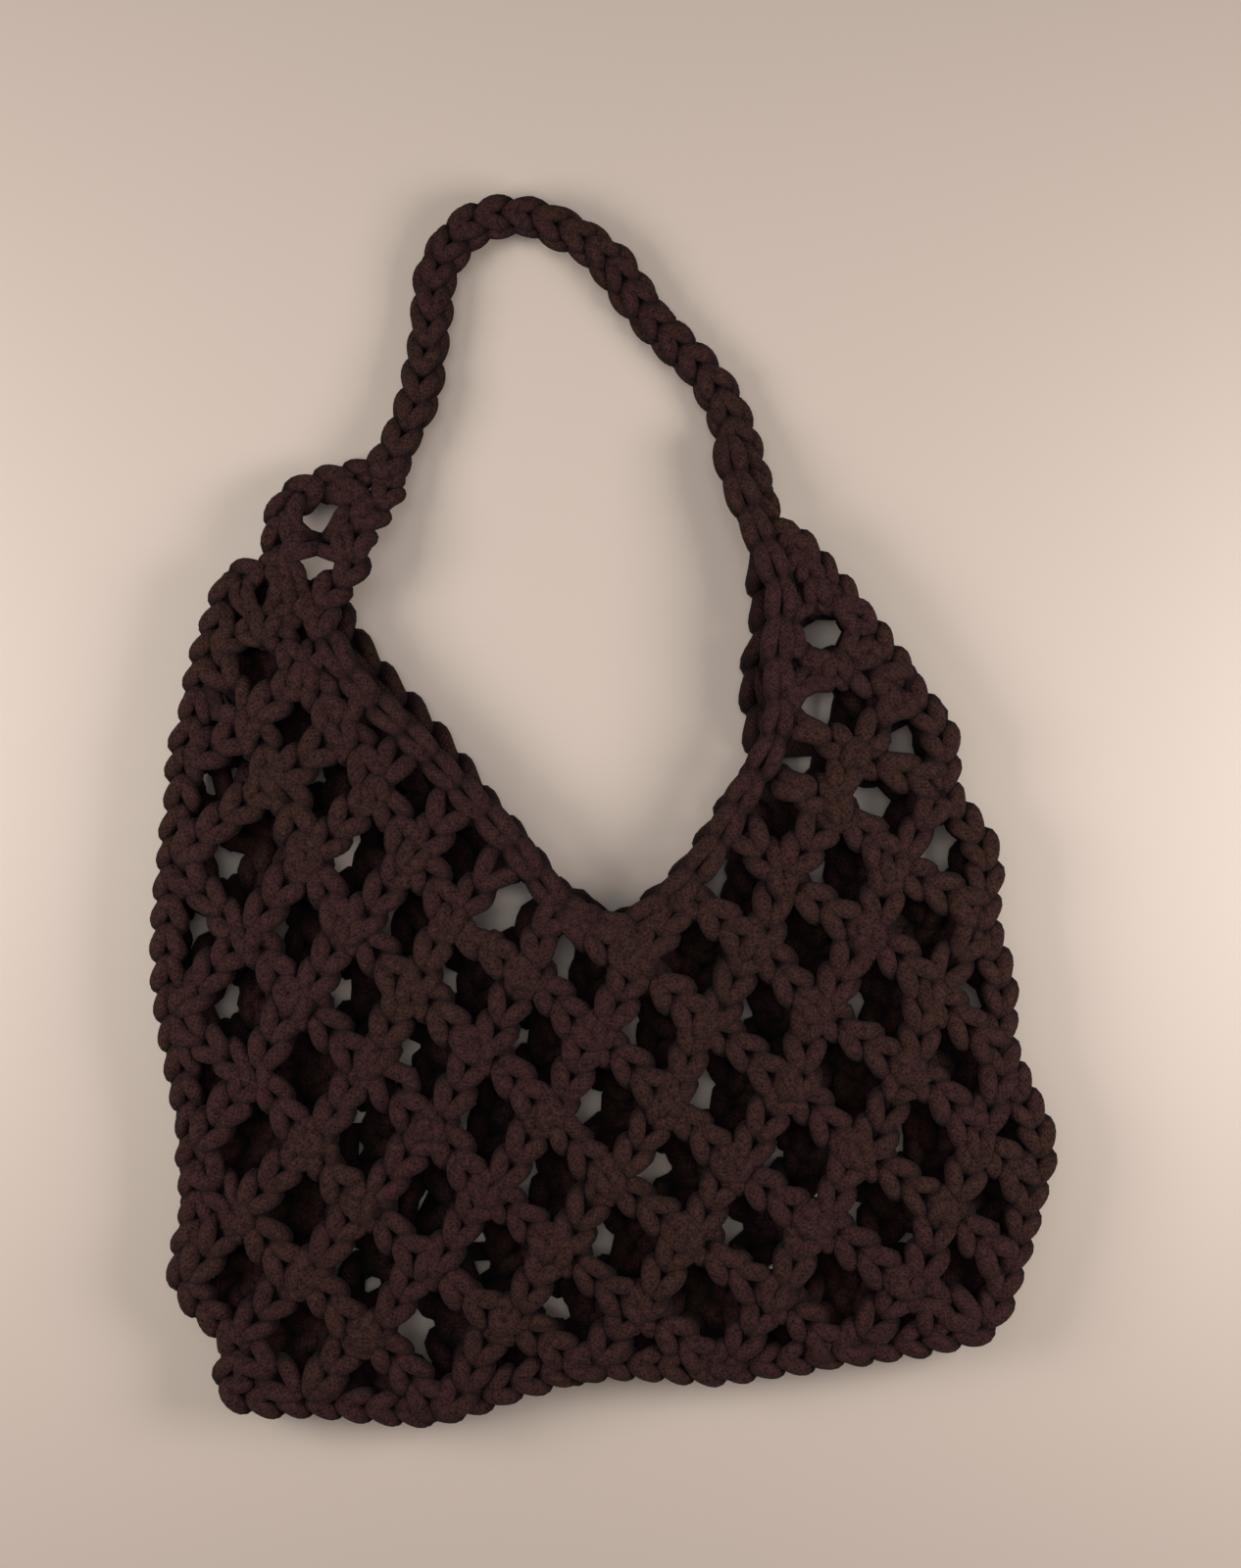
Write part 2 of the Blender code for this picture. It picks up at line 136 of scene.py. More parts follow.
TAB_ROWS = (
    (0.144, 0.695, 0.225, 0.694, 0.000, 0.000, 0, 0.000),
    (0.146, 0.720, 0.232, 0.719, 0.188, 0.188, 1, 0.000),
    (0.152, 0.745, 0.253, 0.742, 0.000, 0.000, 0, 0.000),
    (0.190, 0.760, 0.264, 0.759, 0.000, 0.000, 0, 0.000),
    (0.250, 0.772, 0.268, 0.767, 0.000, 0.000, 0, 0.000),
)
VALLEY = (0.521, 0.395)

SCALE = np.array((BAG_WIDTH, BAG_LENGTH))
MIDDLE = SCALE * OUTLINE_MIDDLE


def in_place(shares):
    """Points in metres: share times size, less the middle of the outline."""
    return np.asarray(shares, float) * SCALE - MIDDLE


def row_of_knots(row, staggered):
    """Knots of one row as shares: evenly spaced on the line between its ends, or, in the back net,
    half-way between those places and a little to the side."""
    left_x, left_y, right_x, right_y, first, last, count = row[:7]
    inner = np.linspace(first, last, count)
    lift = 0.0
    if staggered:
        every = np.concatenate(([left_x], inner, [right_x]))
        inner = 0.5 * (every[1:] + every[:-1]) + BACK_SHIFT[0]
        inner = inner[(inner > left_x + LEAST_FROM_END) & (inner < right_x - LEAST_FROM_END)]
        lift = BACK_SHIFT[1]
    x = np.concatenate(([left_x], inner, [right_x]))
    y = np.interp(x, (left_x, right_x), (left_y, right_y))
    y[1:-1] += lift
    return np.column_stack((x, y))


print("rows:", len(BODY_ROWS), "in the body,", len(LEFT_ROWS), "left,", len(RIGHT_ROWS), "right")

# %% [markdown]
# ## From rows to cells
#
# Neighbouring rows are tied by bars. Starting at the left ends, the next bar always goes to the
# nearer knot, which gives the diamonds of a net that was worked in arches. Each stretch of a row has
# at most one knot above and one below, and these four are one cell, with one hole.

# %% Cells, arches and outline
def tie_rows(lower, upper, places):
    """The knot above each stretch of the lower row, and the one below each stretch of the upper."""
    below, above = {}, {}
    i = j = 0
    while i < len(lower) - 1 or j < len(upper) - 1:
        along_lower = along_upper = np.inf
        if i < len(lower) - 1:
            along_lower = np.linalg.norm(places[lower[i + 1]] - places[upper[j]])
        if j < len(upper) - 1:
            along_upper = np.linalg.norm(places[lower[i]] - places[upper[j + 1]])
        if along_lower <= along_upper:
            above[lower[i], lower[i + 1]] = upper[j]
            i += 1
        else:
            below[upper[j], upper[j + 1]] = lower[i]
            j += 1
    return below, above


def net_plan(staggered, with_tab):
    """Everything that the net is worked from: knot places, cells, arches, outline and neck."""
    places = []

    def add(shares):
        start = len(places)
        places.extend(in_place(shares))
        return list(range(start, len(places)))

    def wing(rows, mouth_column, way):
        made = []
        for row in rows:
            row = list(row)
            row[mouth_column] += way * row[7] if staggered else 0.0
            made.append(add(row_of_knots(row, staggered)))
        return made

    body = [add(BOTTOM_EDGE)]
    body += [add(row_of_knots(row, staggered)) for row in BODY_ROWS]
    left = wing(LEFT_ROWS + (TAB_ROWS if with_tab else ()), 2, 1.0)
    valley = add([VALLEY])
    right = wing(RIGHT_ROWS, 0, -1.0)
    places = np.array(places)
    mouth_row = left[0] + valley + right[0]

    below, above, level = {}, {}, {}
    for rows in (body + [mouth_row], left, right):
        for lower, upper in zip(rows[:-1], rows[1:]):
            under, over = tie_rows(lower, upper, places)
            below.update(under)
            above.update(over)
        for number, row in enumerate(rows):
            level.update({knot: number for knot in row if knot not in level})

    cells = []
    for rows in (body, [mouth_row], left[1:], right[1:]):
        for row in rows:
            for a, b in zip(row[:-1], row[1:]):
                loop = [a, below.get((a, b)), b, above.get((a, b))]
                cells.append([knot for knot in loop if knot is not None])
    edges = {(a, b) for loop in cells for a, b in zip(loop, loop[1:] + loop[:1])}
    onward = {a: b for a, b in edges if (b, a) not in edges}
    neck = [row[0] for row in right[::-1]] + valley
    neck += [row[-1] for row in left[: len(LEFT_ROWS) - 1]]
    return {
        "places": places,
        "cells": cells,
        "edges": edges,
        "onward": onward,
        "arches": [(a, c, b) for (a, b), c in above.items()],
        "neck": neck,
        "level": level,
        "tab": {knot for row in left[len(LEFT_ROWS) :] for knot in row},
    }


front_plan = net_plan(False, True)
back_plan = net_plan(True, False)
for name, plan in (("front", front_plan), ("back", back_plan)):
    print(name, "net:", len(plan["places"]), "knots,", len(plan["cells"]), "cells")

# %% [markdown]
# ## Heights
#
# The back net lies on the table, and the front net lies on it with a little room between them. At
# the sides, the bottom and the peaks they close up, because there the real bag is one folded fabric.

# %% Heights of the two nets
def smooth_step(share):
    """A share held to 0 to 1, then three times its square less twice its cube: level at both ends."""
    share = np.clip(share, 0.0, 1.0)
    return share * share * (3.0 - 2.0 * share)


def closing(points):
    """0 at the sides, bottom and peaks, rising in a smooth step to 1 at CLOSING_RUN inside them."""
    left = in_place([row[:2] for row in BODY_ROWS + LEFT_ROWS])
    right = in_place([row[2:4] for row in BODY_ROWS + RIGHT_ROWS])
    bottom = in_place(BOTTOM_EDGE)
    x, y = points[:, 0], points[:, 1]
    from_left = x - np.interp(y, left[:, 1], left[:, 0])
    from_right = np.interp(y, right[:, 1], right[:, 0]) - x
    from_bottom = y - np.interp(x, bottom[:, 0], bottom[:, 1])
    peak = np.where(x < in_place([VALLEY])[0, 0], left[-1, 1], right[-1, 1])
    nearest = np.minimum(np.minimum(from_left, from_right), np.minimum(from_bottom, peak - y))
    return smooth_step(nearest / CLOSING_RUN)


def front_middle(points):
    """Middle height of the front net: it rests on the back net's rim, stands off it inside, and bends
    down along the tab."""
    meeting = 1.5 * NET_THICKNESS + 0.5 * POCKET + 0.5 * GAP
    height = meeting + 0.5 * (POCKET - GAP) * closing(points)
    foot, top = in_place([(0.0, TAB_FOOT), (0.0, TAB_TOP)])[:, 1]
    share = np.where(points[:, 0] < in_place([VALLEY])[0, 0], (points[:, 1] - foot) / (top - foot), 0.0)
    return height - TAB_DIP * smooth_step(share)


def back_middle(points):
    """Middle height of the back net: on the table inside, a little up where it meets the front."""
    return 0.5 * NET_THICKNESS + 0.5 * (POCKET - GAP) * (1.0 - closing(points))


for name, plan, middle in (("front", front_plan, front_middle), ("back", back_plan, back_middle)):
    heights = 1000 * middle(plan["places"])
    print(name, "net's middle height in mm:", heights.min().round(1), "to", heights.max().round(1))


# %% [markdown]
# ## A line for stitches to follow
#
# Stitches are worked along lines: a row of the net, the outline, the strap. A route knows the place at
# each distance, and which way is sideways and which is up there. The crochet hook follows such a line
# too, so one tool serves for every piece.

# %% Routes
ROUTE_REACH = 0.0015


class Route:
    """A line in space that stitches are worked along."""

    def __init__(self, points):
        self.points = np.asarray(points, float)
        steps = np.linalg.norm(np.diff(self.points, axis=0), axis=1)
        self.travelled = np.concatenate(([0.0], np.cumsum(steps)))
        self.length = self.travelled[-1]

    def at(self, stops):
        """Place at each distance along the line, going straight on past its ends."""
        inside = np.clip(stops, 0.0, self.length)
        place = np.column_stack([np.interp(inside, self.travelled, axis) for axis in self.points.T])
        first = (self.points[1] - self.points[0]) / (self.travelled[1] - self.travelled[0])
        last = (self.points[-1] - self.points[-2]) / (self.travelled[-1] - self.travelled[-2])
        over = (stops - inside)[:, None]
        return place + np.where(over < 0.0, over * first, over * last)

    def frame(self, stops):
        """Place, side and up at each distance: side is level, and up is square to side and way."""
        along = self.at(stops + ROUTE_REACH) - self.at(stops - ROUTE_REACH)
        side = np.cross(along, (0.0, 0.0, 1.0))
        side = side / np.linalg.norm(side, axis=1, keepdims=True)
        up = np.cross(side, along)
        return self.at(stops), side, up / np.linalg.norm(up, axis=1, keepdims=True)


def smooth_line(points, per_span=10):
    """A smooth curve through points: each span is the cubic whose slope at a point is half the step
    between that point's neighbours."""
    points = np.asarray(points, float)
    padded = np.vstack((2.0 * points[:1] - points[1:2], points, 2.0 * points[-1:] - points[-2:-1]))
    a, b, c, d = (padded[k : len(padded) - 3 + k, None, :] for k in range(4))
    t = np.linspace(0.0, 1.0, per_span, endpoint=False)[None, :, None]
    bend = 2.0 * b + (c - a) * t + (2.0 * a - 5.0 * b + 4.0 * c - d) * t**2
    fine = 0.5 * (bend + (3.0 * b - a - 3.0 * c + d) * t**3)
    return np.vstack((fine.reshape(-1, points.shape[1]), points[-1:]))


test_route = Route([(0.0, 0.0, 0.0), (0.1, 0.0, 0.0)])
_, test_side, test_up = test_route.frame(np.array([0.05]))
print("on a route along +X, side is", test_side[0].tolist(), "and up is", test_up[0].tolist())

# %% [markdown]
# ## One chain stitch
#
# In a chain each loop of cord comes up through the loop before it, spreads into two plump arms, and
# goes round behind the arms of the next one. With the angle a running once round for each stitch,
# the cord goes forward and back with a cosine, left and right with a sine, and up and down twice,
# and on the back it steps on to the next stitch. Real cord is squeezed where loops meet, so the lines
# here may come nearer than one thickness.

# %% The line of a row of stitches
CORD_RADIUS = 0.0027
STITCH_LENGTH = 0.0094
STEP_SHARE = 0.11

# Shape of a loop: how far its height runs ahead, how deep its back lies, how much its arms swell
HEIGHT_LEAD = 0.30
BACK_DIP = 0.40
ARM_SWELL = 0.07

# How uneven handwork is: width, depth and radius as shares, the lean to a side, and a slow shift
UNEVEN = (0.08, 0.12, 0.05)
UNEVEN_LEAN = 0.08
DRIFT_SIZE = 0.00018
DRIFT_LENGTH = 0.034
DRIFT_SEED = 11


def drift(points):
    """A small uneven shift of cord: for each axis, a sum of three slow waves across space."""
    rng = np.random.default_rng(DRIFT_SEED)
    waves = rng.normal(0.0, 1.0, (3, 3, 3)) * (2.0 * np.pi / DRIFT_LENGTH)
    phases = rng.uniform(0.0, 2.0 * np.pi, (3, 3))
    turns = np.einsum("nk,awk->naw", points, waves) + phases
    return np.sin(turns).sum(axis=2)


def chain_line(route, rng, pitch=STITCH_LENGTH, width=0.0038, depth=0.0024, reach=1.20,
               opening=0.90, samples=26, radius=CORD_RADIUS, count=None, trim=0.0):
    """Middle line of the cord in a row of chain stitches, its upward directions, radii and heights.

    With u from 0 to 1 in each stitch and a = 2 pi u: along is the stitch's number, which steps on
    smoothly where u is near a whole number, plus reach times (1 - cos a) / 2; side is width times the
    sine of a, with a pushed on so that the arms are widest near the top; height is depth times
    -cos 2a, less a cosine of a that sinks the back. The radius swells on the arms.
    """
    usable = route.length - 2.0 * trim
    count = count or max(int(round(usable / pitch - 0.5)), 1)
    u = np.arange(count * samples + 1) / samples
    turn = 2.0 * np.pi * u
    step = usable / (count - 1.0 + reach)
    middle = np.arange(count) + 0.5
    ease = [np.interp(u, middle, rng.normal(1.0, share, count)) for share in UNEVEN]
    lean = np.interp(u, middle, rng.normal(0.0, UNEVEN_LEAN, count))
    number = np.round(u) - 1.0 + smooth_step((u - np.round(u)) / (2.0 * STEP_SHARE) + 0.5)
    number = np.clip(number, 0.0, count - 1.0)
    along = trim + step * (number + reach * 0.5 * (1.0 - np.cos(turn)))
    side = -width * ease[0] * (np.sin(turn - opening * np.sin(turn)) + lean)
    rise = -np.cos(2.0 * turn + HEIGHT_LEAD * np.sin(turn)) - BACK_DIP * np.cos(turn)
    high = depth * ease[1] * rise
    place, side_way, up_way = route.frame(along)
    line = place + side_way * side[:, None] + up_way * high[:, None]
    line = line + DRIFT_SIZE * drift(line)
    thick = radius * ease[2] * (1.0 - ARM_SWELL * np.cos(2.0 * turn))
    return line, up_way, thick, high


test_line = chain_line(test_route, np.random.default_rng(1))[0]
test_length = np.linalg.norm(np.diff(test_line, axis=0), axis=1).sum()
print("a 100 mm chain takes", round(1000 * test_length), "mm of cord")

# %% [markdown]
# ## Cord round a line
#
# A round section is carried along each line. Its turn about the line follows the route's own upward
# direction, so the threads of the cord run on without a twist. Length and turn go into a UV map, in
# which the cotton's fine braid is drawn later. A second number on each point sets painted shade: it
# runs from none where the cord dives behind its neighbour to most on the top of the arms, and the
# colour is painted darker where it is low.

# %% Tubes of cord
# Soft cord flattens on the table: heights under this one are squeezed towards zero
SQUASH = 0.0016
TOP_PERCENT = 98
APART_IN_UV = 0.037


def tube(line, up, thick, sides):
    """Rings of points: centre plus radius times (cos v across + sin v upward), square to the line."""
    along = np.gradient(line, axis=0)
    along /= np.linalg.norm(along, axis=1, keepdims=True)
    across = np.cross(along, up)
    across /= np.linalg.norm(across, axis=1, keepdims=True)
    rise = np.cross(across, along)
    v = np.linspace(0.0, 2.0 * np.pi, sides, endpoint=False)
    spokes = across[:, None, :] * np.cos(v)[None, :, None] + rise[:, None, :] * np.sin(v)[None, :, None]
    return line[:, None, :] + spokes * thick[:, None, None]


def tube_uv(line, sides, start):
    """Length along the cord and turn about it, for the four corners of each face."""
    length = np.concatenate(([0.0], np.cumsum(np.linalg.norm(np.diff(line, axis=0), axis=1))))
    u = np.broadcast_to((length + start)[:, None], (len(line), sides))
    v = np.broadcast_to(np.arange(sides) / sides, (len(line), sides))
    corner_u = np.stack((u[:-1], u[1:], u[1:], u[:-1]), axis=-1)
    corner_v = np.stack((v[:-1], v[1:], v[1:] + 1.0 / sides, v[:-1] + 1.0 / sides), axis=-1)
    return np.stack((corner_u, corner_v), axis=-1).reshape(-1, 2)


def cord_arrays(cords, sides, painted_light_factor):
    """Points, faces, UV and painted-light numbers of many cords, each a tube closed by a fan at both
    ends.
    """
    points, quads, fans, quad_uv, fan_uv, painted_light_share = [], [], [], [], [], []
    start = 0
    for number, (line, up, thick, high) in enumerate(cords):
        rings = tube(line, up, thick, sides)
        # Painted shade: each point's number is its height in the chain over the top height, so points in
        # creases and under the cord are painted dark and tops light
        rise = high[:, None] + thick[:, None] * np.sin(2.0 * np.pi * np.arange(sides) / sides)
        top = np.percentile(rise, TOP_PERCENT)
        painted_light_share += [painted_light_factor * np.clip(rise / top, 0.0, 1.0).ravel(), np.zeros(2)]
        grid = start + np.arange(len(line) * sides).reshape(len(line), sides)
        after = np.roll(grid, -1, axis=1)
        quads.append(np.stack((grid[:-1], grid[1:], after[1:], after[:-1]), axis=-1).reshape(-1, 4))
        quad_uv.append(tube_uv(line, sides, APART_IN_UV * number))
        first_tip = start + len(line) * sides
        fans.append(np.stack((np.full(sides, first_tip), grid[0], after[0]), axis=-1))
        fans.append(np.stack((after[-1], grid[-1], np.full(sides, first_tip + 1)), axis=-1))
        fan_uv.append(np.zeros((6 * sides, 2)))
        tips = [line[0] - 0.5 * (line[1] - line[0]), line[-1] + 0.5 * (line[-1] - line[-2])]
        points.append(np.vstack((rings.reshape(-1, 3), tips)))
        start += len(line) * sides + 2
    points = np.vstack(points)
    low = points[:, 2] < SQUASH
    points[low, 2] = SQUASH * np.exp(points[low, 2] / SQUASH - 1.0)
    return points, np.vstack(quads), np.vstack(fans), np.vstack(quad_uv + fan_uv), np.concatenate(painted_light_share)


def put_cords(name, cords, material, sides, painted_light_factor=1.0):
    """One object from many lines of cord. Light scales the painted-light number of its points: the back
    net gets a lower one, so its colour is painted darker as painted shade for the front net's shadow."""
    points, quads, fans, uv, painted_light_share = cord_arrays(cords, sides, painted_light_factor)
    corners = np.concatenate((quads.ravel(), fans.ravel()))
    sizes = np.concatenate((np.full(len(quads), 4), np.full(len(fans), 3)))
    mesh = bpy.data.meshes.new(name)
    mesh.vertices.add(len(points))
    mesh.vertices.foreach_set("co", points.astype(np.float32).ravel())
    mesh.loops.add(len(corners))
    mesh.loops.foreach_set("vertex_index", corners.astype(np.int32))
    mesh.polygons.add(len(sizes))
    mesh.polygons.foreach_set("loop_start", (np.cumsum(sizes) - sizes).astype(np.int32))
    mesh.polygons.foreach_set("use_smooth", np.ones(len(sizes), bool))
    mesh.update(calc_edges=True)
    layer = mesh.uv_layers.new(name="cord")
    layer.data.foreach_set("uv", uv.astype(np.float32).ravel())
    # The painted-light number of each point, which the cotton turns into painted shade
    painted_light_attr = mesh.attributes.new("painted_light_share", "FLOAT", "POINT")
    painted_light_attr.data.foreach_set("value", painted_light_share.astype(np.float32))
    mesh.validate()
    mesh.materials.append(material)
    made = bpy.data.objects.new(name, mesh)
    bpy.context.scene.collection.objects.link(made)
    print(name, ":", len(cords), "cords,", 2 * len(quads) + len(fans), "triangles")
    return made


# %% [markdown]
# ## Shader helpers
#
# Maths on a surface reads best as an expression, so one small class wraps a socket and knows plus,
# minus and times. Everything else comes from one method that makes a node from its type.

# %% Shader helpers
class Wire:
    """A node's output that can be used in an expression; each operation adds one Math node."""

    def __init__(self, tree, socket):
        self.tree, self.socket = tree, socket

    def math(self, operation, *others):
        node = self.tree.nodes.new("ShaderNodeMath")
        node.operation = operation
        for slot, value in zip(node.inputs, (self, *others)):
            if isinstance(value, Wire):
                self.tree.links.new(value.socket, slot)
            else:
                slot.default_value = value
        return Wire(self.tree, node.outputs[0])

    def __add__(self, other):
        return self.math("ADD", other)

    def __radd__(self, other):
        return self.math("ADD", other)

    def __sub__(self, other):
        return self.math("SUBTRACT", other)

    def __mul__(self, other):
        return self.math("MULTIPLY", other)

    def __rmul__(self, other):
        return self.math("MULTIPLY", other)


class Finish:
    """A material under construction."""

    def __init__(self, name):
        self.material = bpy.data.materials.new(name)
        self.material.use_nodes = True
        self.tree = self.material.node_tree
        self.shader = self.tree.nodes["Principled BSDF"]

    def node(self, kind, settings=None, output=0, **sockets):
        """A new node: its settings, then its sockets by name, or as s0, s1 and so on by number."""
        made = self.tree.nodes.new(kind)
        for key, value in (settings or {}).items():
            setattr(made, key, value)
        for key, value in sockets.items():
            by_number = key[0] == "s" and key[1:].isdigit()
            slot = made.inputs[int(key[1:]) if by_number else key.replace("_", " ")]
            if isinstance(value, Wire):
                self.tree.links.new(value.socket, slot)
            else:
                slot.default_value = value
        return Wire(self.tree, made.outputs[output])

    def feed(self, name, wire):
        self.tree.links.new(wire.socket, self.shader.inputs[name])

    def set(self, **values):
        for key, value in values.items():
            self.shader.inputs[key.replace("_", " ")].default_value = value


# %% [markdown]
# ## Brown cotton
#
# The cord is soft spun cotton with a fine braided surface. It is nearly black-brown with a breath of
# red, here and there more olive, and quite matt. In the creases between the loops and on the low
# sides of the cord the colour is painted down to almost black: this is painted shade, set from each
# point's height in its chain.

# %% Brown cotton
# The first colour is painted shade for the creases and low sides of the cord; the others are the cotton's
# own browns
PAINTED_CREASE_SHADE = (0.0040, 0.0016, 0.0018, 1.0)
RED_BROWN = (0.0510, 0.0192, 0.0182, 1.0)
OLIVE_BROWN = (0.0500, 0.0212, 0.0160, 1.0)
LOOSE_FIBRES = (0.62, 0.50, 0.46, 1.0)

# One wave of the braid in metres, its threads round the cord, and the grain of each noise per metre
BRAID_LENGTH = 0.0013
BRAID_THREADS = 9.0
FIBRE_GRAIN = 1500.0
MOTTLE_GRAIN = 620.0
PATCH_GRAIN = 26.0
RELIEF = 0.0004


def brown_cotton(name):
    """Colour varies slowly over the bag and finely along the cord; the braid is two slanting waves."""
    finish = Finish(name)
    place = finish.node("ShaderNodeTexCoord", output=3)
    uv = finish.node("ShaderNodeUVMap", {"uv_map": "cord"})
    length = finish.node("ShaderNodeSeparateXYZ", Vector=uv)
    turn = Wire(finish.tree, length.socket.node.outputs[1])
    slant = length * (2.0 * np.pi / BRAID_LENGTH)
    around = turn * (2.0 * np.pi * BRAID_THREADS)
    braid = (slant + around).math("SINE").math("MAXIMUM", (slant - around).math("SINE"))
    fibres = finish.node("ShaderNodeTexNoise", Vector=place, Scale=FIBRE_GRAIN, Detail=3.0, Roughness=0.6)
    patches = finish.node("ShaderNodeTexNoise", Vector=place, Scale=PATCH_GRAIN, Detail=2.0)
    mottle = finish.node("ShaderNodeTexNoise", Vector=place, Scale=MOTTLE_GRAIN, Detail=3.0)
    soft = {"interpolation_type": "SMOOTHSTEP"}
    colours = {"data_type": "RGBA"}
    hue = finish.node("ShaderNodeMapRange", soft, Value=patches, From_Min=0.40, From_Max=0.64)
    mixed = finish.node("ShaderNodeMix", colours, output=2, s0=hue, s6=RED_BROWN, s7=OLIVE_BROWN)
    grain = 0.5 * mottle + 0.5 * fibres + 0.05 * braid
    shade = finish.node("ShaderNodeMapRange", Value=grain, From_Min=0.35, From_Max=0.66)
    # Painted shade: where a point's painted-light number is low, in the creases and under the cord, the
    # colour is mixed towards the painted crease colour
    painted_light_attr = finish.node("ShaderNodeAttribute", {"attribute_name": "painted_light_share"}, output=2)
    painted_light_ramp = finish.node(
        "ShaderNodeMapRange", soft, Value=painted_light_attr, From_Min=0.30, From_Max=0.92, To_Min=0.03
    )
    tint = finish.node("ShaderNodeMix", colours, output=2, s0=shade * painted_light_ramp, s6=PAINTED_CREASE_SHADE, s7=mixed)
    finish.feed("Base Color", tint)
    height = 0.35 * braid + 1.1 * fibres + 0.9 * mottle
    finish.feed("Normal", finish.node("ShaderNodeBump", Height=height, Strength=0.9, Distance=RELIEF))
    finish.feed("Roughness", 0.80 + 0.14 * fibres)
    finish.set(Sheen_Weight=0.05, Sheen_Roughness=0.5, Sheen_Tint=LOOSE_FIBRES, Specular_IOR_Level=0.12)
    return finish.material


net_cotton = brown_cotton("net_cotton")
print("cotton:", len(net_cotton.node_tree.nodes), "nodes")

# %% [markdown]
# ## The nets
#
# A row of the net is a chain that goes up and down in arches. Each arch is held to the row below by
# one upright stitch, so the lower bends of a row lie over the upper bends of the row before it. The
# outline is worked last, as a chain of its own all round. In the peaks and the tab the real maker
# pulled the cord tighter, and the stitches here are narrower too.

# %% Arches, links and knots
FRONT_SAMPLES = 26
FRONT_SIDES = 10
BACK_SAMPLES = 20
BACK_SIDES = 8
# Share of painted light on the back net: its cotton is painted darker, as painted shade for the front
# net's shadow
BACK_PAINTED_LIGHT = 0.72
FRONT_STITCH = {"width": 0.0043, "radius": 0.0028, "reach": 1.30, "opening": 0.80}
PEAK_STITCH = {"width": 0.0029, "radius": 0.00245, "pitch": 0.0085, "reach": 1.30, "opening": 0.80}
TAB_STITCH = {"width": 0.0027, "radius": 0.00245}
BACK_STITCH = {"width": 0.0058, "radius": 0.0034, "pitch": 0.0104, "reach": 1.30}
FRONT_KNOT = {"width": 0.0026, "radius": 0.0026, "opening": 0.7}
BACK_KNOT = {"width": 0.0056, "radius": 0.0036, "opening": 0.7}
PEAK_FOOT = 0.585

# How far knots reach and lean, and how the bends of a row are drawn together and lifted
KNOT_REACH = 0.0054
KNOT_LEAN = 0.0016
KNOT_LIFT = 0.0018
BEND_PULL = 0.0014
BEND_LIFT = 0.0008
ROW_LIFT = 0.0004
ROW_TRIM = 0.001


def lifted(flat_points, middle, lift=0.0):
    """Points of the plan at the middle height of their net, plus a lift."""
    return np.column_stack((flat_points, middle(flat_points) + lift))


def stitch_at(ends, stitch):
    """Narrower stitches in the peaks, where the holes are small."""
    return PEAK_STITCH if ends[:, 1].min() > in_place((0.0, PEAK_FOOT))[1] else stitch


def zigzags(plan, done):
    """Arches joined into runs of knots, each run as long as the row goes on without a break. Pairs of
    knots that a run ties are added to those that are done."""
    runs = []
    for a, c, b in plan["arches"]:
        pairs = {frozenset((a, c)), frozenset((c, b))}
        if done & pairs or plan["tab"] & {a, b, c}:
            continue
        done |= pairs
        if runs and runs[-1][-1] == a:
            runs[-1] += [c, b]
        else:
            runs.append([a, c, b])
    return runs


def net_cords(plan, middle, seed, samples, stitch, knot):
    """Lines of cord of one net: each row one zigzag of chain, whose lower bends lie over the upper
    bends of the row below; single links where a row has no arch; an upright stitch on each inner knot."""
    rng = np.random.default_rng(seed)
    places, onward = plan["places"], plan["onward"]
    done = {frozenset(pair) for pair in onward.items()}
    arches, knots = [], []
    for run in zigzags(plan, done):
        bends = places[run] + np.outer(-np.cos(np.pi * np.arange(len(run))), (0.0, -BEND_PULL))
        way = smooth_line(bends)
        over = np.cos(np.pi * np.linspace(0.0, len(run) - 1.0, len(way)))
        route = Route(lifted(way, middle, BEND_LIFT * over + ROW_LIFT))
        worked = stitch_at(places[run], stitch)
        arches.append(chain_line(route, rng, samples=samples, trim=ROW_TRIM, **worked))
    for pair in sorted({tuple(sorted(edge)) for edge in plan["edges"]}):
        if frozenset(pair) in done:
            continue
        route = Route(lifted(np.linspace(places[pair[0]], places[pair[1]], 8), middle))
        worked = TAB_STITCH if plan["tab"] & set(pair) else stitch_at(places[list(pair)], stitch)
        arches.append(chain_line(route, rng, samples=samples, trim=ROW_TRIM, **worked))
    for number, place in enumerate(places):
        if number in onward or number in plan["tab"]:
            continue
        way = 1.0 if plan["level"][number] % 2 else -1.0
        reach = np.array((rng.normal(0.0, KNOT_LEAN), way * KNOT_REACH))
        route = Route(lifted(np.linspace(place - reach, place + reach, 6), middle, KNOT_LIFT))
        knots.append(chain_line(route, rng, count=1, samples=samples, **knot))
    return arches, knots


front_arches, front_knots = net_cords(
    front_plan, front_middle, 5, FRONT_SAMPLES, FRONT_STITCH, FRONT_KNOT
)
back_arches, back_knots = net_cords(back_plan, back_middle, 8, BACK_SAMPLES, BACK_STITCH, BACK_KNOT)
print("front:", len(front_arches), "chains and", len(front_knots), "knots")
print("back:", len(back_arches), "chains and", len(back_knots), "knots")

# %% [markdown]
# ## Where the table shows
#
# In most holes of the front net brown cord shows, and in some a spot of the pale table. Soft cord
# slips aside a little wherever it lies, and a spot is open where both nets happened to part. So the
# spots are listed, links of the back net cross under all other holes, and the cord of both nets is
# pushed aside at the spots.

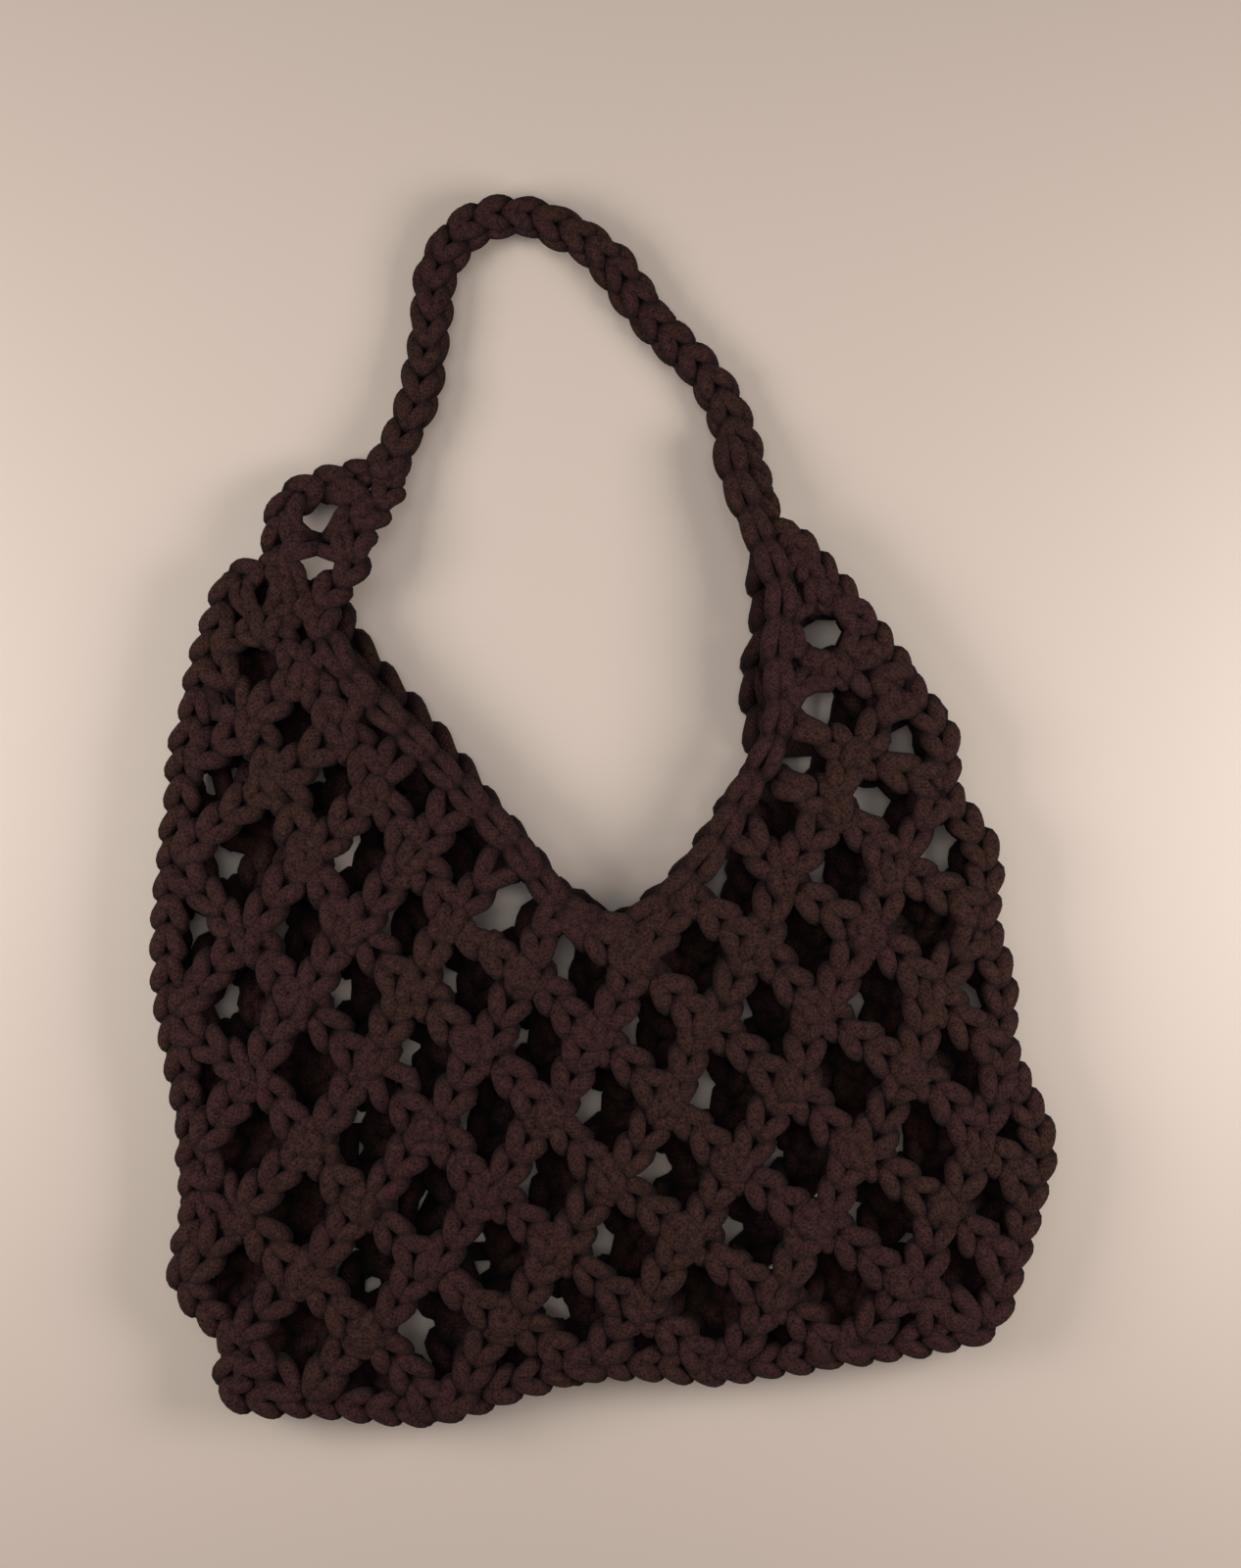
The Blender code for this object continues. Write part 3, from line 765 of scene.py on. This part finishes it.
# %% Open places
# Places where the table shows through both nets: x, y as shares, and how wide
OPEN_PLACES = (
    (0.078, 0.585, 1.00), (0.070, 0.517, 1.00), (0.107, 0.467, 1.00),
    (0.054, 0.408, 1.00), (0.038, 0.361, 1.00), (0.392, 0.424, 1.00),
    (0.370, 0.405, 1.00), (0.459, 0.389, 1.00), (0.220, 0.224, 1.00),
    (0.300, 0.173, 1.00), (0.365, 0.127, 1.00), (0.241, 0.110, 1.00),
    (0.483, 0.251, 1.00), (0.563, 0.204, 1.00), (0.606, 0.267, 1.00),
    (0.510, 0.143, 1.00), (0.644, 0.153, 1.00), (0.622, 0.440, 1.00),
    (0.569, 0.377, 1.00), (0.783, 0.338, 1.00), (0.274, 0.284, 1.00),
    (0.733, 0.580, 1.55), (0.735, 0.636, 1.30), (0.826, 0.558, 1.30),
    (0.714, 0.538, 1.50), (0.794, 0.504, 1.10), (0.869, 0.469, 1.00),
    (0.182, 0.732, 1.30), (0.187, 0.679, 1.10), (0.125, 0.668, 0.90),
)
FRONT_OPENING = 0.0046
BACK_OPENING = 0.0056
OPENING_FADE = 0.0080
OPEN_REACH = 0.0105
COVERED = 0.0030
LEAST_DISTANCE = 1e-5


def crossing_links(front, back, middle, seed, samples):
    """Extra links of the back net under those front holes that show cord and no table: from the knot
    nearest to the hole, through the hole's middle, to the knot nearest to the opposite side."""
    rng = np.random.default_rng(seed)
    open_places = in_place(np.array(OPEN_PLACES)[:, :2])
    knots = back["places"]
    share = np.linspace(0.0, 1.0, 9)[:, None]
    ends = np.array([(a, b) for a, b in back["edges"] if a < b or (b, a) not in back["edges"]])
    bars = (knots[ends[:, 0], None] * (1.0 - share) + knots[ends[:, 1], None] * share).reshape(-1, 2)
    made = []
    for loop in front["cells"]:
        centre = front["places"][loop].mean(axis=0)
        if np.linalg.norm(open_places - centre, axis=1).min() < OPEN_REACH:
            continue
        if np.linalg.norm(bars - centre, axis=1).min() < COVERED or front["tab"] & set(loop):
            continue
        first = np.linalg.norm(knots - centre, axis=1).argmin()
        last = np.linalg.norm(knots - (2.0 * centre - knots[first]), axis=1).argmin()
        if last == first:
            continue
        way = smooth_line(np.array((knots[first], centre, knots[last])))
        made.append(chain_line(Route(lifted(way, middle)), rng, samples=samples, **BACK_STITCH))
    return made


def pushed_aside(cords, radius):
    """Cord moved away from the middle of each open place: at distance d it goes to the root of
    d squared plus radius squared, and this fades out with a bell curve further off."""
    made = []
    for line, *rest in cords:
        line = line.copy()
        for x, y, size in OPEN_PLACES:
            away = line[:, :2] - in_place((x, y))
            distance = np.linalg.norm(away, axis=1)
            fade = np.exp(-((distance / (size * OPENING_FADE)) ** 2))
            push = (np.hypot(distance, size * radius) - distance) * fade
            line[:, :2] += away * (push / np.maximum(distance, LEAST_DISTANCE))[:, None]
        made.append((line, *rest))
    return made


back_links = crossing_links(front_plan, back_plan, back_middle, 13, BACK_SAMPLES)
front_arches = pushed_aside(front_arches, FRONT_OPENING)
front_knots = pushed_aside(front_knots, FRONT_OPENING)
back_arches = pushed_aside(back_arches, BACK_OPENING)
back_knots = pushed_aside(back_knots, BACK_OPENING)
back_links = pushed_aside(back_links, BACK_OPENING)
print("open places:", len(OPEN_PLACES), "and crossing links:", len(back_links))

# %% [markdown]
# ## Outline and edging
#
# The outline of each net is one chain from the left end of the mouth round the bag to the right end.
# The mouth has an edging of long slip stitches, flat and narrow, worked over the ends of the rows. On
# the front it comes off the strap and runs down the right peak before it follows the mouth.

# %% Outline and edging
FRONT_RIM_STITCH = {"width": 0.0036}
BACK_RIM_STITCH = {"width": 0.0034, "samples": BACK_SAMPLES}
EDGING_STITCH = {"pitch": 0.0125, "width": 0.0026, "depth": 0.0018, "opening": 0.45, "radius": 0.0026}
BACK_EDGING_STITCH = {"pitch": 0.0125, "width": 0.0030, "samples": BACK_SAMPLES}
FRONT_RIM_LIFT = -0.0010
BACK_RIM_LIFT = 0.0006
EDGING_OUTWARD = 0.0030
EDGING_LIFT = 0.0008
THIN_OUT = 5

# The edging's lead from the strap down the right peak: x, y as shares, height in metres
PEAK_KNOTS = 6
EDGING_LEAD = (
    (0.637, 0.800, 0.0105),
    (0.640, 0.778, 0.0145),
    (0.650, 0.752, 0.0165),
    (0.664, 0.726, 0.0190),
    (0.678, 0.703, 0.0215),
    (0.692, 0.671, 0.0230),
    (0.690, 0.640, 0.0235),
    (0.688, 0.608, 0.0238),
    (0.690, 0.575, 0.0240),
    (0.682, 0.548, 0.0240),
)


def rim_route(plan, middle, lift):
    """The outline without the neck, as one open route."""
    onward, neck = plan["onward"], plan["neck"]
    loop = [neck[-1]]
    while onward[loop[-1]] != neck[0]:
        loop.append(onward[loop[-1]])
    loop.append(neck[0])
    return Route(lifted(smooth_line(plan["places"][loop], 8), middle, lift))


def neck_route(plan, middle, lift, first=0):
    """The neck from one of its knots on, moved outward from the net by a part of the edging's width."""
    fine = smooth_line(plan["places"][plan["neck"][first:]])
    along = np.gradient(fine, axis=0)
    along /= np.linalg.norm(along, axis=1, keepdims=True)
    fine = fine + EDGING_OUTWARD * np.column_stack((along[:, 1], -along[:, 0]))
    return Route(lifted(fine, middle, lift))


def front_neck_route():
    """The lead down the right peak, then the neck from its seventh knot on, as one line."""
    table = np.array(EDGING_LEAD)
    lead = smooth_line(np.column_stack((in_place(table[:, :2]), table[:, 2])))
    neck = neck_route(front_plan, front_middle, EDGING_LIFT, PEAK_KNOTS)
    return Route(smooth_line(np.vstack((lead[::THIN_OUT], neck.points[::THIN_OUT])), 5))


rng = np.random.default_rng(21)
front_rim = [chain_line(rim_route(front_plan, front_middle, FRONT_RIM_LIFT), rng, **FRONT_RIM_STITCH)]
back_rim = [chain_line(rim_route(back_plan, back_middle, BACK_RIM_LIFT), rng, **BACK_RIM_STITCH)]
front_neck = [chain_line(front_neck_route(), rng, **EDGING_STITCH)]
back_neck = [chain_line(neck_route(back_plan, back_middle, 0.0), rng, **BACK_EDGING_STITCH)]
print("points of the front outline:", len(front_rim[0][0]), "and of its edging:", len(front_neck[0][0]))

# %% [markdown]
# ## The strap
#
# The strap is a narrow band of stitches: two columns of plump arms on top and a scalloped edge on
# both sides. It is worked here as two chains, one wide below and one on top of it.

# %% Strap
STRAP_THICKNESS = 0.0105
LOWER_STITCH = {"pitch": 0.0102, "width": 0.0046, "depth": 0.0012, "opening": 0.1, "radius": 0.0025}
UPPER_STITCH = {"pitch": 0.0090, "width": 0.0034, "depth": 0.0020, "radius": 0.0025}
LOWER_DROP = 0.0012
UPPER_LIFT = 0.0016

# Middle line: x, y, height above the table in strap thicknesses. The first point lies inside the tab
# and the last one inside the right peak.
STRAP_PATH = (
    (0.2480, 0.7640, 0.98),
    (0.2686, 0.7863, 0.86),
    (0.2897, 0.8233, 0.78),
    (0.2994, 0.8578, 0.68),
    (0.3069, 0.8971, 0.60),
    (0.3122, 0.9269, 0.62),
    (0.3262, 0.9537, 0.72),
    (0.3509, 0.9717, 0.84),
    (0.3788, 0.9796, 0.92),
    (0.4099, 0.9804, 0.92),
    (0.4453, 0.9717, 0.84),
    (0.4828, 0.9568, 0.74),
    (0.5107, 0.9379, 0.66),
    (0.5558, 0.8940, 0.56),
    (0.6137, 0.8515, 0.56),
    (0.6438, 0.8091, 0.66),
    (0.6588, 0.7698, 0.92),
    (0.6741, 0.7298, 1.14),
    (0.6870, 0.7040, 1.50),
)

strap_table = np.array(STRAP_PATH)
strap_line = smooth_line(
    np.column_stack((in_place(strap_table[:, :2]), strap_table[:, 2] * STRAP_THICKNESS))
)
strap_cords = [
    chain_line(Route(strap_line - (0.0, 0.0, LOWER_DROP)), rng, **LOWER_STITCH),
    chain_line(Route(strap_line + (0.0, 0.0, UPPER_LIFT)), rng, **UPPER_STITCH),
]
print("strap in mm:", round(1000 * Route(strap_line).length))

# %% [markdown]
# ## Into the frame
#
# Each piece takes the place of the solid that stands for it and rides on the bag's only body. The
# front net's chains are two pieces, so that none grows too big.

# %% Put the pieces in and tie them to the frame
half = len(front_arches) // 2
pieces = {
    "front_arches_lower": (front_arches[:half], "front_net"),
    "front_arches_upper": (front_arches[half:], "front_net"),
    "front_knots": (front_knots, "front_net"),
    "front_rim": (front_rim, "front_net"),
    "back_arches": (back_arches, "back_net"),
    "back_knots": (back_knots, "back_net"),
    "back_links": (back_links, "back_net"),
    "back_rim": (back_rim, "back_net"),
    "front_neck_edging": (front_neck, "front_edging"),
    "back_neck_edging": (back_neck, "back_edging"),
    "strap_cord": (strap_cords, "strap"),
}

for name, (cords, node) in pieces.items():
    # The back pieces get the lower painted-light share, which paints their colour darker as painted shade
    if name.startswith("back"):
        piece = put_cords(name, cords, net_cotton, BACK_SIDES, BACK_PAINTED_LIGHT)
    else:
        piece = put_cords(name, cords, net_cotton, FRONT_SIDES)
    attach(piece, "root")
    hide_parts(node)
    "edging_cotton" if "edging" in name else "net_cotton"

# %% [markdown]
# ## Table
#
# The bag lies on a pale warm board with a slight gloss, which mirrors the lamps as two broad glows.

# %% Table
HALF_TABLE = 3.0

table_finish = Finish("pale_board")
table_finish.set(Base_Color=(0.555, 0.470, 0.415, 1.0), Roughness=0.45, Specular_IOR_Level=0.8)
corners = [(x * HALF_TABLE, y * HALF_TABLE, 0.0) for x, y in ((-1, -1), (1, -1), (1, 1), (-1, 1))]
table_mesh = bpy.data.meshes.new("table")
table_mesh.from_pydata(corners, [], [(0, 1, 2, 3)])
table_mesh.materials.append(table_finish.material)
table = bpy.data.objects.new("table", table_mesh)
bpy.context.scene.collection.objects.link(table)
print("table:", 2.0 * HALF_TABLE, "m wide")

# %% [markdown]
# ## Light
#
# Two broad lamps stand to the left and the right, which gives the soft double shadow of the photo. A
# third one overhead and a dim warm sky fill the rest.

# %% Lamps
# Name, place, size in metres, power in watts, colour
LAMPS = (
    ("left_lamp", (-0.52, 0.02, 0.43), 0.32, 3.05, (1.0, 0.95, 0.90)),
    ("right_lamp", (0.45, -0.02, 0.39), 0.30, 2.55, (1.0, 0.95, 0.90)),
    ("top_lamp", (-0.12, 0.15, 1.15), 0.70, 2.40, (1.0, 0.97, 0.94)),
)
SKY_COLOUR = (1.0, 0.95, 0.90, 1.0)
SKY_STRENGTH = 0.14

for name, place, size, power, colour in LAMPS:
    data = bpy.data.lights.new(name, "AREA")
    data.shape = "SQUARE"
    data.size = size
    data.energy = power
    data.color = colour
    lamp = bpy.data.objects.new(name, data)
    lamp.location = place
    lamp.rotation_euler = (-Vector(place)).to_track_quat("-Z", "Y").to_euler()
    bpy.context.scene.collection.objects.link(lamp)

world = bpy.data.worlds.new("room")
world.use_nodes = True
world.node_tree.nodes["Background"].inputs["Color"].default_value = SKY_COLOUR
world.node_tree.nodes["Background"].inputs["Strength"].default_value = SKY_STRENGTH
bpy.context.scene.world = world
bpy.context.scene.view_settings.view_transform = "Standard"
print("lamps:", len(LAMPS))
